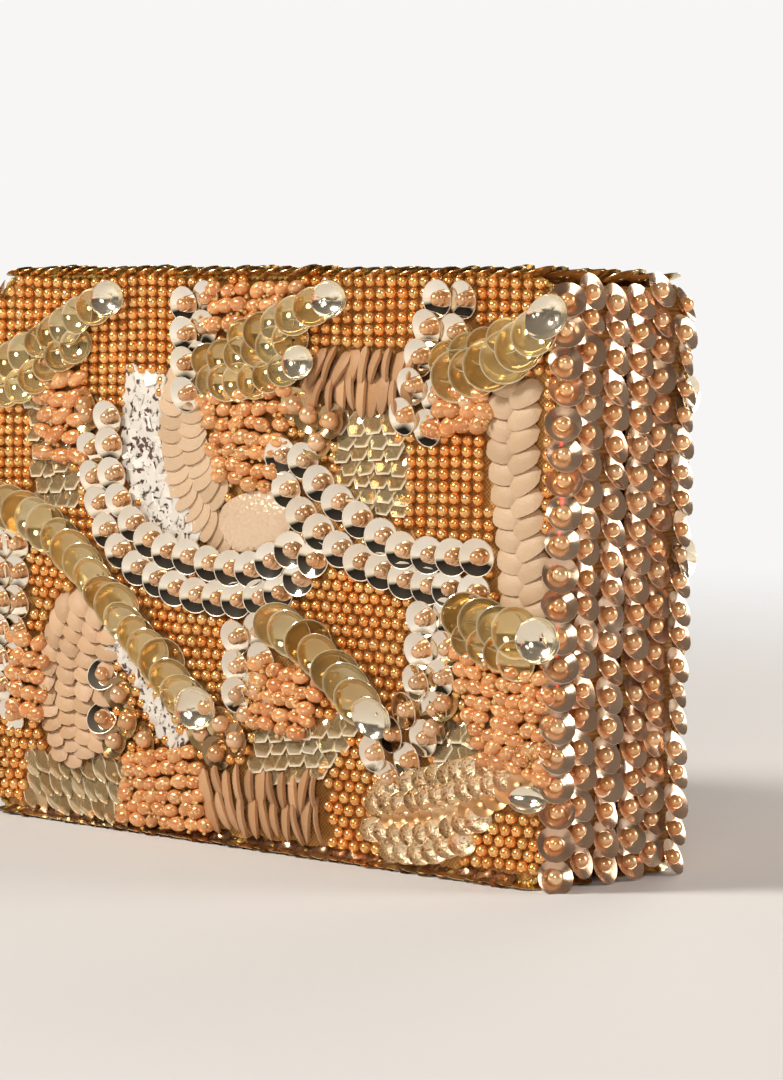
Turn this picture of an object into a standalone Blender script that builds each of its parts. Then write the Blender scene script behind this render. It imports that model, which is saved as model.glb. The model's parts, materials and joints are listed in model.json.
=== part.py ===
"""Evening bag: a box clutch in two hard shells, hinged along the bottom and held shut by magnets.

Metres, +Z up. The bag stands on its base with the front facing -Y; the origin is on the base,
midway across. The front half turns about a hinge axis that runs along X under the parting line.
"""

from math import cos, pi, sin

import bmesh
import bpy
from mathutils import Matrix, Vector

MM = 0.001

# Driving dimensions, in millimetres
WIDTH, HEIGHT, DEPTH = 152.0, 114.0, 42.0
CORNER = 7.0            # radius of the four corners of the front and back
GAP = 0.3               # clearance between neighbouring pieces
PARTING_Y = 1.0         # plane where the two halves meet
BAND_SETBACK = 1.5      # groove each side of the parting plane, where the hinge barrels lie

BAND_WALL = 2.2         # beaded band round the sides, top and base
LEAF_SPACE = 1.2        # room under the band for the hinge leaves
PANEL = 2.4             # embroidered panel, net and beads together
WADDING = 1.5
SHELL_WALL = 1.6
LINING_PAD = 1.8
LINING_WALL = 0.9
RIM_DEPTH, RIM_WALL = 2.5, 3.2

HINGE_Z, BARREL_R, PIN_R, BORE_R = 1.5, 1.2, 0.5, 0.58
HINGE_X = 45.0          # the two hinges, left and right of the middle
LEAF_LENGTH, LEAF_REACH, LEAF_SHEET = 20.0, 9.0, 0.6
MIDDLE_KNUCKLE = 7.8

MAGNET_R, MAGNET_THICK, MAGNET_X = 2.4, 2.0, 18.0
BAR_LENGTH, BAR_HEIGHT, BAR_DEPTH = 54.0, 6.1, 4.6

ROPE_WIDTH, ROPE_HEIGHT = 10.0, 5.0

for old in list(bpy.data.objects):
    bpy.data.objects.remove(old)

hinge_line = bpy.data.objects.new("hinge_line", None)
hinge_line.location = Vector((0, PARTING_Y, HINGE_Z)) * MM
bpy.context.collection.objects.link(hinge_line)


def finish(name, colour, roughness, metallic=0.0):
    """A Principled material."""
    made = bpy.data.materials.new(name)
    made.use_nodes = True
    shader = made.node_tree.nodes["Principled BSDF"]
    shader.inputs["Base Color"].default_value = (*colour, 1)
    shader.inputs["Roughness"].default_value = roughness
    shader.inputs["Metallic"].default_value = metallic
    return made


shell_plastic = finish("shell_plastic", (0.12, 0.09, 0.07), 0.5)
gold_plate = finish("gold_plate", (0.83, 0.62, 0.30), 0.25, 1.0)
steel = finish("steel", (0.62, 0.62, 0.60), 0.3, 1.0)
felt = finish("felt", (0.72, 0.60, 0.45), 0.9)
satin = finish("satin", (0.78, 0.62, 0.46), 0.45)
seed_beads = finish("seed_beads", (0.82, 0.43, 0.14), 0.3, 0.5)
cup_sequins = finish("cup_sequins", (0.66, 0.50, 0.38), 0.2, 0.8)
clear_gold = finish("clear_gold", (0.66, 0.55, 0.28), 0.15, 0.5)
ring_sequins = finish("ring_sequins", (0.93, 0.86, 0.76), 0.15, 0.3)
nude_leather = finish("nude_leather", (0.82, 0.64, 0.49), 0.55)
peach_pearl = finish("peach_pearl", (0.85, 0.52, 0.34), 0.3, 0.2)
clear_sequins = finish("clear_sequins", (0.78, 0.74, 0.64), 0.15)
gold_foil = finish("gold_foil", (0.88, 0.74, 0.45), 0.3, 0.9)
silver_foil = finish("silver_foil", (0.90, 0.88, 0.85), 0.25, 0.6)


def add(name, bm, material, moving=False, smooth=True):
    """Turn a bmesh in millimetres into a named object; a moving one hangs on the hinge line."""
    bmesh.ops.recalc_face_normals(bm, faces=bm.faces[:])
    bmesh.ops.scale(bm, vec=(MM, MM, MM), verts=bm.verts[:])
    mesh = bpy.data.meshes.new(name)
    if moving:
        bmesh.ops.translate(bm, vec=-hinge_line.location, verts=bm.verts[:])
    bm.to_mesh(mesh)
    bm.free()
    if smooth:
        mesh.shade_smooth()
        mesh.set_sharp_from_angle(angle=0.6)
    mesh.materials.append(material)
    made = bpy.data.objects.new(name, mesh)
    bpy.context.collection.objects.link(made)
    if moving:
        made.parent = hinge_line
    return made


def outline_face(bm, inset, y):
    """The bag's rounded outline, drawn in by an inset, as one face in the plane at y."""
    radius = max(CORNER - inset, 1.5)
    steps = 5
    corners = []
    for i, (side_x, side_z) in enumerate(((1, 1), (-1, 1), (-1, -1), (1, -1))):
        centre_x = side_x * (WIDTH / 2 - inset - radius)
        centre_z = HEIGHT / 2 + side_z * (HEIGHT / 2 - inset - radius)
        for step in range(steps + 1):
            turn = (i + step / steps) * pi / 2
            place = (centre_x + radius * cos(turn), y, centre_z + radius * sin(turn))
            corners.append(bm.verts.new(place))
    return bm.faces.new(corners)


def pull(bm, faces, dy):
    """Extrude faces along Y and return the new ones."""
    grown = bmesh.ops.extrude_face_region(bm, geom=faces)["geom"]
    bmesh.ops.translate(bm, vec=(0, dy, 0), verts=[v for v in grown if isinstance(v, bmesh.types.BMVert)])
    return [f for f in grown if isinstance(f, bmesh.types.BMFace)]


def slab(inset, y_outer, y_inner):
    """A plate with the bag's outline."""
    bm = bmesh.new()
    pull(bm, [outline_face(bm, inset, y_outer)], y_inner - y_outer)
    return bm


def tray(inset, y_outer, y_mouth, wall):
    """A shallow box with the bag's outline, open at y_mouth."""
    bm = bmesh.new()
    toward = 1 if y_mouth > y_outer else -1
    mouth = pull(bm, [outline_face(bm, inset, y_outer)], y_mouth - y_outer)
    bm.normal_update()
    bmesh.ops.inset_region(bm, faces=mouth, thickness=wall, use_even_offset=True)
    pull(bm, mouth, y_outer + toward * wall - y_mouth)
    bmesh.ops.delete(bm, geom=mouth, context="FACES_ONLY")
    return bm


def hoop(inset, y_a, y_b, wall):
    """A ring that follows the bag's outline."""
    bm = bmesh.new()
    middle = outline_face(bm, inset, y_a)
    bm.normal_update()
    inset_by = {"thickness": wall, "use_even_offset": True, "use_boundary": True}
    ring = bmesh.ops.inset_region(bm, faces=[middle], **inset_by)["faces"]
    bmesh.ops.delete(bm, geom=[middle], context="FACES")
    pull(bm, ring, y_b - y_a)
    return bm


def block(low, high):
    """A plain box between two corners."""
    bm = bmesh.new()
    low, high = Vector(low), Vector(high)
    place = Matrix.Translation((low + high) / 2) @ Matrix.Diagonal((*(high - low), 1))
    bmesh.ops.create_cube(bm, size=1, matrix=place)
    return bm


def rod(radius, length, centre, axis="X", sides=16):
    """A round bar along X or Y."""
    bm = bmesh.new()
    turn = Matrix.Rotation(pi / 2, 4, "Y" if axis == "X" else "X")
    bmesh.ops.create_cone(bm, cap_ends=True, segments=sides, radius1=radius, radius2=radius,
                          depth=length, matrix=Matrix.Translation(centre) @ turn)
    return bm


def joined(bm, *others):
    """Put the shapes of several bmeshes into the first."""
    for other in others:
        mesh = bpy.data.meshes.new("part")
        other.to_mesh(mesh)
        other.free()
        bm.from_mesh(mesh)
        bpy.data.meshes.remove(mesh)
    return bm


def boolean(made, operation, bm, name):
    """Cut or join a hidden tool shape, with an exact Boolean."""
    tool = add(name, bm, steel, moving=made.parent is not None, smooth=False)
    tool.hide_render = True
    tool.display_type = "WIRE"
    step = made.modifiers.new(name, "BOOLEAN")
    step.operation = operation
    step.object = tool


def smooth_line(points, step):
    """Points every few millimetres along a smooth curve through a few chosen ones."""
    points = [Vector(p) for p in points]
    if len(points) == 2:
        points.insert(1, (points[0] + points[1]) / 2)
    ends = [2 * points[0] - points[1], *points, 2 * points[-1] - points[-2]]
    line = []
    for before, a, b, after in zip(ends, ends[1:], ends[2:], ends[3:]):
        count = max(2, round((b - a).length / step))
        for i in range(count):
            t = i / count
            line.append(0.5 * (2 * a + (b - before) * t + (2 * before - 5 * a + 4 * b - after) * t * t
                               + (3 * a - before - 3 * b + after) * t ** 3))
    return [*line, points[-1]]


def ridge(points, width, height, facing):
    """A raised, rounded strip of embroidery along a line of (x, z) points on a panel."""
    line = smooth_line(points, 5.0)
    base = facing * (DEPTH / 2 - 0.1 + GAP)
    bm = bmesh.new()
    last = len(line) - 1
    sides = 6
    outer = []
    for i, here in enumerate(line):
        along = (line[min(i + 1, last)] - line[max(i - 1, 0)]).normalized()
        across = Vector((-along.y, along.x))
        end = min(i, last - i)
        swell = (0.45, 0.85)[end] if end < 2 else 1.0
        row = []
        for side in range(sides + 1):
            turn = pi * side / sides
            flat = here + across * (cos(turn) * width / 2 * swell)
            rise = (0.05 + sin(turn)) * height * swell / 1.05
            row.append(bm.verts.new((flat.x, base + facing * rise, flat.y)))
        foot = [here + across * (s * width / 2 * swell) for s in (-1, 1)]
        row += [bm.verts.new((f.x, base, f.y)) for f in foot]
        outer.append(row)
    bm.faces.new(outer[0])
    bm.faces.new(outer[-1])
    for a, b in zip(outer, outer[1:]):
        count = len(a)
        for j in range(count):
            bm.faces.new((a[j], a[(j + 1) % count], b[(j + 1) % count], b[j]))
    return bm


# The two halves: +1 is the back, -1 the front, which moves
for facing, half in ((1, "back"), (-1, "front")):
    moves = facing < 0
    face_y = facing * DEPTH / 2
    panel_inner = face_y - facing * PANEL
    wadding_outer = panel_inner - facing * GAP
    shell_outer = wadding_outer - facing * (WADDING + GAP)
    meeting_y = PARTING_Y + facing * GAP
    rim_back = meeting_y + facing * RIM_DEPTH
    shell_mouth = rim_back + facing * GAP
    lining_outer = shell_outer - facing * (SHELL_WALL + GAP)
    lining_inner = lining_outer - facing * LINING_PAD
    band_edge = PARTING_Y + facing * BAND_SETBACK
    shell_inset = BAND_WALL + LEAF_SPACE

    # Embroidered panel over a thin wadding, both stretched on the shell's face
    add(f"{half}_panel", slab(0, face_y - facing * 0.1, panel_inner), seed_beads, moves)
    add(f"{half}_wadding", slab(shell_inset, wadding_outer, wadding_outer - facing * WADDING), felt, moves)

    # Hard tray, with a metal rim round its mouth
    add(f"{half}_shell", tray(shell_inset, shell_outer, shell_mouth, SHELL_WALL), shell_plastic, moves)
    add(f"{half}_frame_rim", hoop(shell_inset, rim_back, meeting_y, RIM_WALL), gold_plate, moves)

    # Beaded band round the sides, top and base, set back from the parting groove
    add(f"{half}_gusset_band", hoop(0, panel_inner - facing * GAP, band_edge, BAND_WALL), cup_sequins, moves)

    # Padded lining on the floor of the tray, and a lining strip round its walls
    pad_inset = shell_inset + SHELL_WALL + 0.6
    add(f"{half}_lining_pad", slab(pad_inset, lining_outer, lining_inner), satin, moves)
    strip = hoop(shell_inset + SHELL_WALL + GAP, lining_inner - facing * GAP, shell_mouth, LINING_WALL)
    add(f"{half}_wall_lining", strip, satin, moves)

    # Magnet bar inside the top of the mouth, with two disc magnets let into its face
    bar_top = HEIGHT - shell_inset - RIM_WALL - GAP
    bar_face = PARTING_Y + facing * 0.5
    bar_back = bar_face + facing * BAR_DEPTH
    y_low, y_high = sorted((bar_face, bar_back))
    bar = add(f"{half}_magnet_bar", block((-BAR_LENGTH / 2, y_low, bar_top - BAR_HEIGHT),
                                          (BAR_LENGTH / 2, y_high, bar_top)), gold_plate, moves, smooth=False)
    magnet_z = bar_top - BAR_HEIGHT / 2
    pockets = []
    for side, which in ((-1, "left"), (1, "right")):
        x = side * MAGNET_X
        pockets.append(rod(MAGNET_R + GAP, 2 * (MAGNET_THICK + 0.4), (x, bar_face, magnet_z), "Y", 20))
        disc_y = bar_face + facing * (0.1 + MAGNET_THICK / 2)
        disc = rod(MAGNET_R, MAGNET_THICK, (x, disc_y, magnet_z), "Y", 20)
        add(f"{half}_magnet_{which}", disc, steel, moves)
    boolean(bar, "DIFFERENCE", joined(*pockets), f"{half}_magnet_pockets")

    # Hinge leaves: a sheet under the shell with its barrels on the hinge axis
    for side, which in ((-1, "left"), (1, "right")):
        x = side * HINGE_X
        sheet_z = HINGE_Z + BARREL_R - 0.2
        y_far, y_near = PARTING_Y + facing * LEAF_REACH, PARTING_Y + facing * BAND_SETBACK
        y_low, y_high = sorted((y_far, y_near))
        sheet = block((x - LEAF_LENGTH / 2, y_low, sheet_z),
                      (x + LEAF_LENGTH / 2, y_high, sheet_z + LEAF_SHEET))
        leaf = add(f"{half}_hinge_leaf_{which}", sheet, gold_plate, moves, smooth=False)
        half_middle = MIDDLE_KNUCKLE / 2
        if moves:
            spans = [(x - half_middle, x + half_middle)]
        else:
            end = half_middle + GAP
            spans = [(x - LEAF_LENGTH / 2, x - end), (x + end, x + LEAF_LENGTH / 2)]
        for i, (x_low, x_high) in enumerate(spans):
            y_low, y_high = sorted((PARTING_Y, y_near + facing * 0.5))
            tab = block((x_low, y_low, sheet_z), (x_high, y_high, sheet_z + LEAF_SHEET))
            barrel = rod(BARREL_R, x_high - x_low, ((x_low + x_high) / 2, PARTING_Y, HINGE_Z))
            boolean(leaf, "UNION", tab, f"{leaf.name}_tab_{i}")
            boolean(leaf, "UNION", barrel, f"{leaf.name}_barrel_{i}")
        bore = rod(BORE_R, LEAF_LENGTH + 4, (x, PARTING_Y, HINGE_Z))
        boolean(leaf, "DIFFERENCE", bore, f"{leaf.name}_bore")

for side, which in ((-1, "left"), (1, "right")):
    pin = rod(PIN_R, LEAF_LENGTH + 0.6, (side * HINGE_X, PARTING_Y, HINGE_Z))
    add(f"hinge_pin_{which}", pin, steel)

# Slip pocket, flat against the back lining
pocket_face = DEPTH / 2 - PANEL - WADDING - SHELL_WALL - LINING_PAD - 4 * GAP
pocket = block((-40, pocket_face - 1.2, 9), (40, pocket_face, 62))
add("slip_pocket", pocket, satin, smooth=False)

# Raised embroidery on the front: name, material, (x, z) line, width, height
front_work = (
    ("rope_top_left", clear_gold, ((-70, 96), (-58, 100), (-43, 108)), ROPE_WIDTH, ROPE_HEIGHT),
    ("rope_top_middle", clear_gold, ((-11, 95), (2, 99), (14, 106)), 12.0, ROPE_HEIGHT),
    ("rope_long", clear_gold, ((-70, 64), (-60, 62), (-52, 57), (-38, 46), (-26, 35), (-17, 28)),
     ROPE_WIDTH, ROPE_HEIGHT),
    ("rope_top_right", clear_gold, ((50, 98), (59, 100), (70, 105)), ROPE_WIDTH, ROPE_HEIGHT),
    ("rope_right", clear_gold, ((53, 50), (61, 47), (70, 46)), ROPE_WIDTH, ROPE_HEIGHT),
    ("rope_middle", clear_gold, ((7, 44), (18, 39), (30, 31)), ROPE_WIDTH, ROPE_HEIGHT),
    ("ring_band_left", ring_sequins, ((-44, 82), (-43, 72), (-37, 62), (-26, 55), (-12, 51), (4, 52)),
     11.0, 2.2),
    ("ring_band_right", ring_sequins, ((10, 75), (18, 67), (30, 61), (44, 58), (56, 58)), 11.0, 2.2),
    ("ring_column_top", ring_sequins, ((47, 108), (43, 99), (40, 90)), 9.0, 2.2),
    ("ring_column_right", ring_sequins, ((46.5, 48), (46, 40), (42, 31), (38, 24)), 9.0, 2.2),
    ("leather_braid", nude_leather, ((65.5, 91), (67, 72), (68, 54)), 9.5, 3.0),
    ("leather_wing", nude_leather, ((-48, 44), (-51, 32), (-51, 19)), 11.0, 1.8),
    ("leather_crescent", nude_leather, ((-22, 85), (-20, 75), (-13, 67), (0, 63)), 10.0, 1.8),
    ("leather_petals_top", nude_leather, ((20, 93.5), (35, 92)), 12.0, 2.4),
    ("leather_petals_base", nude_leather, ((-13, 9), (16, 8)), 11.0, 2.4),
    ("foil_spray", gold_foil, ((36, 9), (47, 10), (58, 15)), 12.0, 2.4),
    ("silver_band", silver_foil, ((-33, 89), (-33, 78), (-28, 68)), 9.0, 1.5),
    ("pearls_middle", peach_pearl, ((-10, 84), (7, 84)), 14.0, 2.6),
    ("pearls_left", peach_pearl, ((-57, 91), (-56, 79)), 12.0, 2.6),
    ("pearls_right", peach_pearl, ((55, 35), (68, 31)), 12.0, 2.6),
    ("pearls_base", peach_pearl, ((-31, 9), (-22, 9)), 12.0, 2.6),
    ("clear_sequins_top", clear_sequins, ((24, 79), (36, 75)), 11.0, 1.6),
    ("clear_sequins_base", clear_sequins, ((4, 24), (22, 20)), 10.0, 1.6),
)
for name, material, line, width, height in front_work:
    add(name, ridge(line, width, height, -1), material, moving=True)

# The back carries a calmer set of the same work
back_work = (
    ("back_rope_upper", clear_gold, ((-60, 92), (-30, 84), (-6, 72)), ROPE_WIDTH, ROPE_HEIGHT),
    ("back_rope_lower", clear_gold, ((10, 50), (34, 36), (60, 28)), ROPE_WIDTH, ROPE_HEIGHT),
    ("back_ring_band", ring_sequins, ((-60, 34), (-30, 40), (-4, 56), (16, 74), (40, 88), (62, 92)),
     11.0, 2.2),
    ("back_leather_braid", nude_leather, ((-66, 78), (-67, 58), (-66, 44)), 9.5, 3.0),
)
for name, material, line, width, height in back_work:
    add(name, ridge(line, width, height, 1), material)
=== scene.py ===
import json
import math
import random

import bmesh
import bpy
import numpy as np
from mathutils import Matrix, Vector, noise


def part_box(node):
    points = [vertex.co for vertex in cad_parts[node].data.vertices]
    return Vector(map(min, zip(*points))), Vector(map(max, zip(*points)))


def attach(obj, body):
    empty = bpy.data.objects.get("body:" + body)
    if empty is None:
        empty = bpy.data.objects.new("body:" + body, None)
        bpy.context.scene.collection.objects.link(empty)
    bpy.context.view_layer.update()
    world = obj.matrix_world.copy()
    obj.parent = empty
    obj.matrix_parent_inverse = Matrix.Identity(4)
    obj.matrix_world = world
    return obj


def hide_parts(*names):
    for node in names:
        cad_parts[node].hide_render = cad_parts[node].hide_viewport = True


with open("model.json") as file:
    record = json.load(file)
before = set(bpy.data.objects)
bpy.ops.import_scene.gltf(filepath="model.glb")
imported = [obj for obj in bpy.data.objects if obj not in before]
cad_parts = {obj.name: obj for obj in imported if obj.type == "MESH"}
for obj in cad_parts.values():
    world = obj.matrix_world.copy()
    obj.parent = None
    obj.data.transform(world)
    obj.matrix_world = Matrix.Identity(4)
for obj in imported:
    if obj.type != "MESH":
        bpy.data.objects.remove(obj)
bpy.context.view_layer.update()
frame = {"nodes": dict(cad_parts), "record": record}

random.seed(7)

# ---------------------------------------------------------------------------------------------
# Camera, floor and lights. The bag stands on a pale table, seen from its front right corner and a
# little above, in soft light: one large window high on the left, dim round the horizon.
# ---------------------------------------------------------------------------------------------
AZIMUTH, ELEVATION, ROLL = (math.radians(a) for a in (41.354, 3.308, 1.055))
DISTANCE, SHIFT_RIGHT, SHIFT_UP = 0.73383, 0.01351, 0.06091
LENS = 120.64

back = Vector((math.sin(AZIMUTH) * math.cos(ELEVATION), -math.cos(AZIMUTH) * math.cos(ELEVATION),
               math.sin(ELEVATION)))
right = Vector((math.cos(AZIMUTH), math.sin(AZIMUTH), 0))
up = back.cross(right)
rolled_right = math.cos(ROLL) * right + math.sin(ROLL) * up
rolled_up = math.cos(ROLL) * up - math.sin(ROLL) * right
camera = bpy.data.objects.new("camera", bpy.data.cameras.new("camera"))
camera.data.lens = LENS
camera.data.clip_start = 0.01
place = Matrix((rolled_right, rolled_up, back)).transposed().to_4x4()
camera.matrix_world = Matrix.Translation(back * DISTANCE + right * SHIFT_RIGHT + up * SHIFT_UP) @ place
bpy.context.collection.objects.link(camera)
bpy.context.scene.camera = camera
bpy.context.scene.view_settings.view_transform = "Standard"


def area_light(name, at, toward, size, watts, colour=(1, 0.93, 0.83)):
    """A soft round light."""
    lamp = bpy.data.lights.new(name, "AREA")
    lamp.shape = "DISK"
    lamp.size = size
    lamp.energy = watts
    lamp.color = colour
    made = bpy.data.objects.new(name, lamp)
    made.location = at
    made.rotation_euler = (Vector(toward) - Vector(at)).to_track_quat("-Z", "Y").to_euler()
    bpy.context.collection.objects.link(made)


area_light("window", (-0.45, -0.75, 0.75), (0, 0, 0.05), 0.32, 11)
area_light("front_fill", (0.75, -0.95, 0.45), (0, 0, 0.05), 0.4, 3.6)
area_light("side_light", (0.76, 0.66, 0.36), (0, 0, 0.05), 0.6, 6.0, (1, 0.89, 0.80))
area_light("red_card", (0.55, -0.12, 0.10), (0.07, -0.01, 0.06), 0.04, 0.07, (1.0, 0.03, 0.04))
area_light("back_light", (-0.3, 0.9, 0.6), (0, 0, 0.05), 0.5, 3)


def add(tree, kind, inputs=(), **settings):
    """A shader node with its settings; each input is a value, or the output that it is linked from."""
    node = tree.nodes.new("ShaderNode" + kind)
    for label, value in settings.items():
        setattr(node, label, value)
    for socket, value in dict(inputs).items():
        if isinstance(value, bpy.types.NodeSocket):
            tree.links.new(value, node.inputs[socket])
        else:
            node.inputs[socket].default_value = value
    return node


world = bpy.data.worlds.new("room")
bpy.context.scene.world = world
world.use_nodes = True
room = world.node_tree
room.nodes.clear()
direction = add(room, "TexCoord")
heights = add(room, "SeparateXYZ", {0: direction.outputs["Generated"]})
lift = add(room, "Math", {0: heights.outputs["Z"], 1: 0.5, 2: 0.5}, operation="MULTIPLY_ADD")
ramp = add(room, "ValToRGB", {"Fac": lift.outputs[0]})
ramp.color_ramp.elements[0].position = 0.47
ramp.color_ramp.elements[0].color = (1.0, 0.88, 0.72, 1)
ramp.color_ramp.elements[1].position = 0.53
ramp.color_ramp.elements[1].color = (0.012, 0.010, 0.008, 1)
overhead = ramp.color_ramp.elements.new(0.9)
overhead.color = (0.14, 0.12, 0.10, 1)
lit = add(room, "Background", {"Color": ramp.outputs["Color"]})
seen = add(room, "Background", {"Color": (0.93, 0.92, 0.91, 1)})
ray = add(room, "LightPath")
choose = add(room, "MixShader", {0: ray.outputs["Is Camera Ray"], 1: lit.outputs[0], 2: seen.outputs[0]})
add(room, "OutputWorld", {"Surface": choose.outputs[0]})

bm = bmesh.new()
bmesh.ops.create_circle(bm, cap_ends=True, radius=1.0, segments=64)
floor = bpy.data.objects.new("floor", bpy.data.meshes.new("floor"))
bm.to_mesh(floor.data)
bm.free()
bpy.context.collection.objects.link(floor)
floor_paint = bpy.data.materials.new("floor_paint")
floor_paint.use_nodes = True
floor_tree = floor_paint.node_tree
floor_shader = floor_tree.nodes["Principled BSDF"]
floor_shader.inputs["Base Color"].default_value = (0.80, 0.82, 0.85, 1)
floor_shader.inputs["Roughness"].default_value = 0.8
here = add(floor_tree, "TexCoord")
reach = add(floor_tree, "VectorMath", {0: here.outputs["Object"]}, operation="LENGTH")
fade = add(floor_tree, "MapRange", {"Value": reach.outputs["Value"], "From Min": 0.25, "From Max": 0.95,
                                    "To Min": 1.0, "To Max": 0.0}, interpolation_type="SMOOTHSTEP")
floor_tree.links.new(fade.outputs[0], floor_shader.inputs["Alpha"])
floor.data.materials.append(floor_paint)

# ---------------------------------------------------------------------------------------------
# Shells, rims, hinges and magnets: moulded plastic trays, gold-plated brass and nickelled discs.
# These keep their frame shapes and get their real finishes.
# ---------------------------------------------------------------------------------------------


def effect(name, inputs, outputs):
    """A new node group with named sockets, and its tree."""
    tree = bpy.data.node_groups.new(name, "ShaderNodeTree")
    for label, kind, value in inputs:
        socket = tree.interface.new_socket(label, in_out="INPUT", socket_type="NodeSocket" + kind)
        socket.default_value = value
    for label, kind in outputs:
        tree.interface.new_socket(label, in_out="OUTPUT", socket_type="NodeSocket" + kind)
    return tree, tree.nodes.new("NodeGroupInput"), tree.nodes.new("NodeGroupOutput")


# Pores and creases of a fine skin or a worn surface, as a height and a darkening mask
grain, grain_in, grain_out = effect("skin_grain", (("Scale", "Float", 2500.0),),
                                    (("Height", "Float"), ("Crease", "Float")))
where = add(grain, "TexCoord")
pores = add(grain, "TexVoronoi", {"Vector": where.outputs["Object"], "Scale": grain_in.outputs["Scale"]})
small = add(grain, "Math", {0: grain_in.outputs["Scale"], 1: 0.3}, operation="MULTIPLY")
cloudy = add(grain, "TexNoise", {"Vector": where.outputs["Object"], "Scale": small.outputs[0], "Detail": 4})
total = add(grain, "Math", {0: pores.outputs["Distance"], 1: cloudy.outputs["Fac"]}, operation="ADD")
grain.links.new(total.outputs[0], grain_out.inputs["Height"])
grain.links.new(cloudy.outputs["Fac"], grain_out.inputs["Crease"])


def finish(name, colour, roughness, metallic=0.0, **shader_values):
    """A Principled material; returns it, its node tree and its shader."""
    made = bpy.data.materials.new(name)
    made.use_nodes = True
    shader = made.node_tree.nodes["Principled BSDF"]
    shader.inputs["Base Color"].default_value = (*colour, 1)
    shader.inputs["Roughness"].default_value = roughness
    shader.inputs["Metallic"].default_value = metallic
    for label, value in shader_values.items():
        shader.inputs[label.replace("_", " ")].default_value = value
    return made, made.node_tree, shader


def bumped(tree, shader, group_tree, socket, value, strength, distance):
    """Drive the normal by one of the shared effects; returns the effect's node."""
    group = add(tree, "Group", {socket: value}, node_tree=group_tree)
    relief = group.outputs["Height"]
    bump = add(tree, "Bump", {"Strength": strength, "Distance": distance, "Height": relief})
    tree.links.new(bump.outputs[0], shader.inputs["Normal"])
    return group


tray_plastic, tree, shader = finish("tray_plastic", (0.10, 0.075, 0.06), 0.5)
bumped(tree, shader, grain, "Scale", 1800.0, 0.25, 0.0002)
plated_brass, tree, shader = finish("plated_brass", (0.90, 0.66, 0.34), 0.22, 1.0)
polish = bumped(tree, shader, grain, "Scale", 900.0, 0.08, 0.0002)
worn = add(tree, "MapRange", {"Value": polish.outputs["Crease"], "To Min": 0.16, "To Max": 0.36})
tree.links.new(worn.outputs[0], shader.inputs["Roughness"])
nickel, tree, shader = finish("nickel", (0.66, 0.65, 0.62), 0.25, 1.0)
bumped(tree, shader, grain, "Scale", 2200.0, 0.06, 0.0001)
hard_finishes = {"shell_plastic": tray_plastic, "gold_plate": plated_brass, "steel": nickel}
for entry in frame["record"]["subparts"]:
    if entry["material_slot"] in hard_finishes:
        frame["nodes"][entry["node"]].material_slots[0].material = hard_finishes[entry["material_slot"]]

# ---------------------------------------------------------------------------------------------
# Padded linings and waddings: a thin foam under champagne satin, quilted in diamonds on the floor
# of each tray, and a felted wadding between each tray and its embroidered face.
# ---------------------------------------------------------------------------------------------
MM = 0.001
QUILT = 14.0            # one diamond of the quilting, across

# Over-and-under threads of a cloth, finer than a millimetre
weave, weave_in, weave_out = effect("thread_weave", (("Threads", "Float", 2500.0),),
                                    (("Height", "Float"), ("Mask", "Float")))
where = add(weave, "TexCoord")
split = add(weave, "SeparateXYZ", {0: where.outputs["Object"]})
waves = []
for axis in ("X", "Z"):
    turns = add(weave, "Math", {0: split.outputs[axis], 1: weave_in.outputs["Threads"]},
                operation="MULTIPLY")
    waves.append(add(weave, "Math", {0: turns.outputs[0]}, operation="SINE"))
crossing = add(weave, "Math", {0: waves[0].outputs[0], 1: waves[1].outputs[0]}, operation="MULTIPLY")
level = add(weave, "MapRange", {"Value": crossing.outputs[0], "From Min": -1})
weave.links.new(level.outputs[0], weave_out.inputs["Height"])
weave.links.new(level.outputs[0], weave_out.inputs["Mask"])

satin, tree, shader = finish("champagne_satin", (0.80, 0.62, 0.46), 0.42, Sheen_Weight=0.35)
bumped(tree, shader, weave, "Threads", 9000.0, 0.15, 0.0001)
shader.inputs["Sheen Roughness"].default_value = 0.35
felted, tree, shader = finish("felted_wadding", (0.74, 0.62, 0.47), 0.95)
bumped(tree, shader, grain, "Scale", 3500.0, 0.6, 0.0004)


def laid_in(name, bm, material, body, replaced, sharp=0):
    """Make a bmesh one piece that rides on a body in place of a CAD node; sharp 0 keeps it faceted."""
    mesh = bpy.data.meshes.new(name)
    bm.to_mesh(mesh)
    bm.free()
    if sharp:
        mesh.shade_smooth()
        mesh.set_sharp_from_angle(angle=math.radians(sharp))
    mesh.materials.append(material)
    made = bpy.data.objects.new(name, mesh)
    bpy.context.collection.objects.link(made)
    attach(made, body)
    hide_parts(replaced)
    return made


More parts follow.
